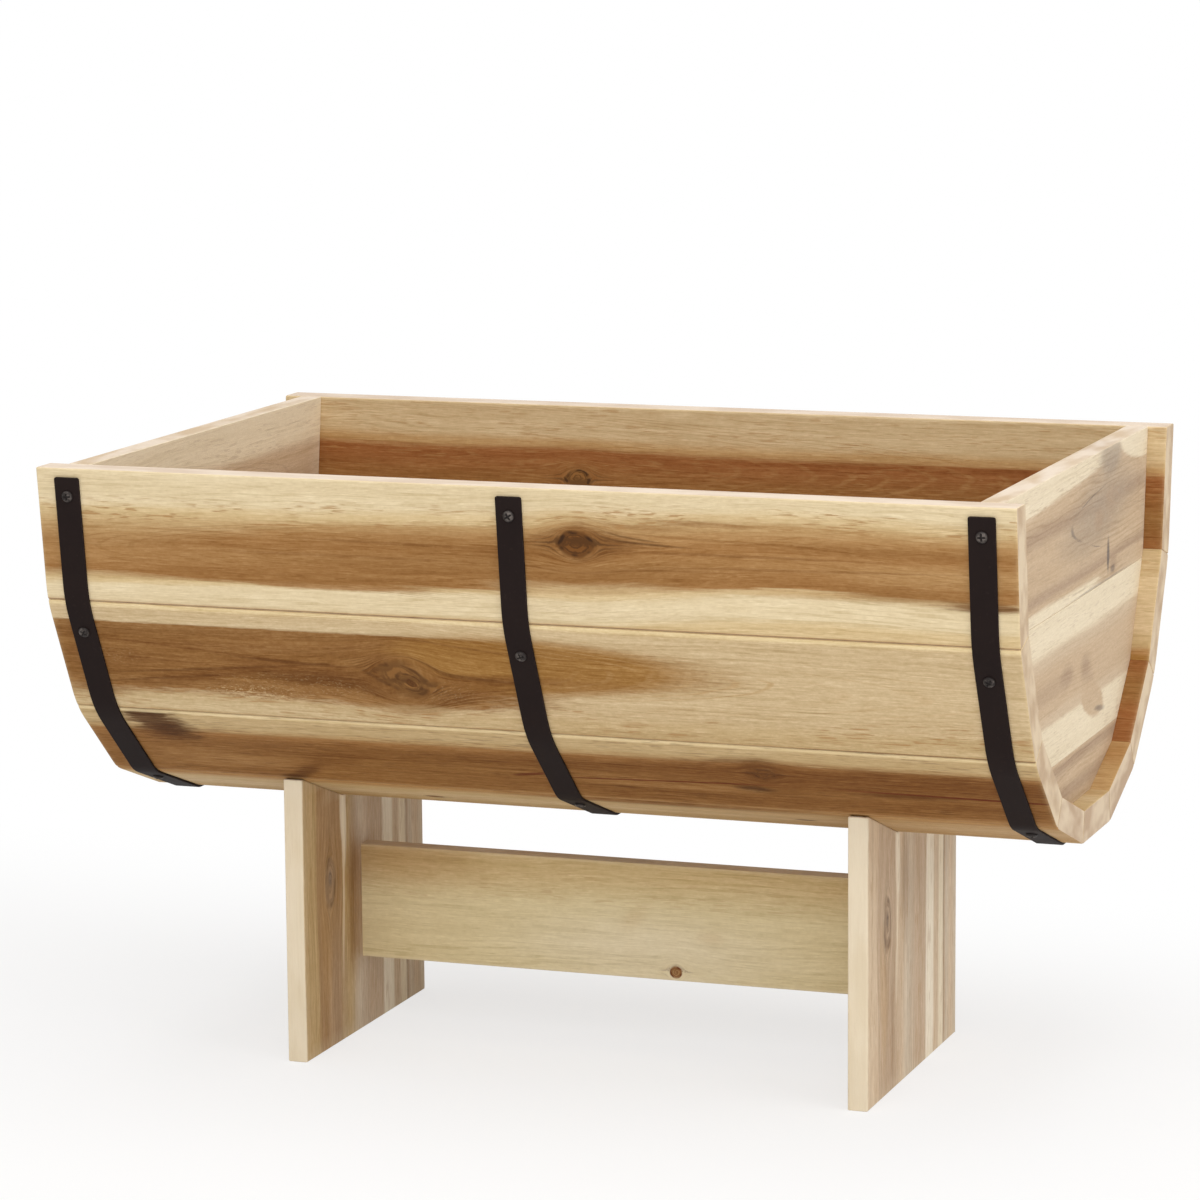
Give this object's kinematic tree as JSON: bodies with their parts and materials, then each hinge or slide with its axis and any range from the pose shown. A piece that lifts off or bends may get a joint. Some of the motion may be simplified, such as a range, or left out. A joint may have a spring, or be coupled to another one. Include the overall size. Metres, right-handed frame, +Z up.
{
  "type": "half-barrel planter",
  "caption": "Wooden half-barrel planter: mitred staves and let-in end boards make an open trough, held by dark metal bands and carried on cradle legs with a stretcher.",
  "frame": {"origin": "on the floor, under the middle of the barrel", "axes": "+X along the barrel, +Y across it towards the back, +Z up"},
  "size_m": [0.6, 0.3942, 0.3794],
  "materials": {
    "stave_wood": "oiled, satin",
    "end_wood": "oiled, satin",
    "leg_wood": "oiled, satin",
    "stretcher_wood": "oiled, satin",
    "dowel_wood": "plain",
    "band_metal": "matt dark coating",
    "screw_metal": "dark plated"
  },
  "bodies": {
    "root": {"stave_bottom": "stave_wood", "stave_low_front": "stave_wood", "stave_low_back": "stave_wood", "stave_bilge_front": "stave_wood", "stave_bilge_back": "stave_wood", "stave_side_front": "stave_wood", "stave_side_back": "stave_wood", "stave_rim_front": "stave_wood", "stave_rim_back": "stave_wood", "end_plank_upper_left": "end_wood", "end_plank_middle_left": "end_wood", "end_plank_lower_left": "end_wood", "end_plank_upper_right": "end_wood", "end_plank_middle_right": "end_wood", "end_plank_lower_right": "end_wood", "band_left": "band_metal", "band_middle": "band_metal", "band_right": "band_metal", "band_screws_left": "screw_metal", "band_screws_middle": "screw_metal", "band_screws_right": "screw_metal", "leg_left": "leg_wood", "leg_right": "leg_wood", "leg_screws": "screw_metal", "stretcher": "stretcher_wood", "stretcher_dowels": "dowel_wood"}
  },
  "joints": []
}
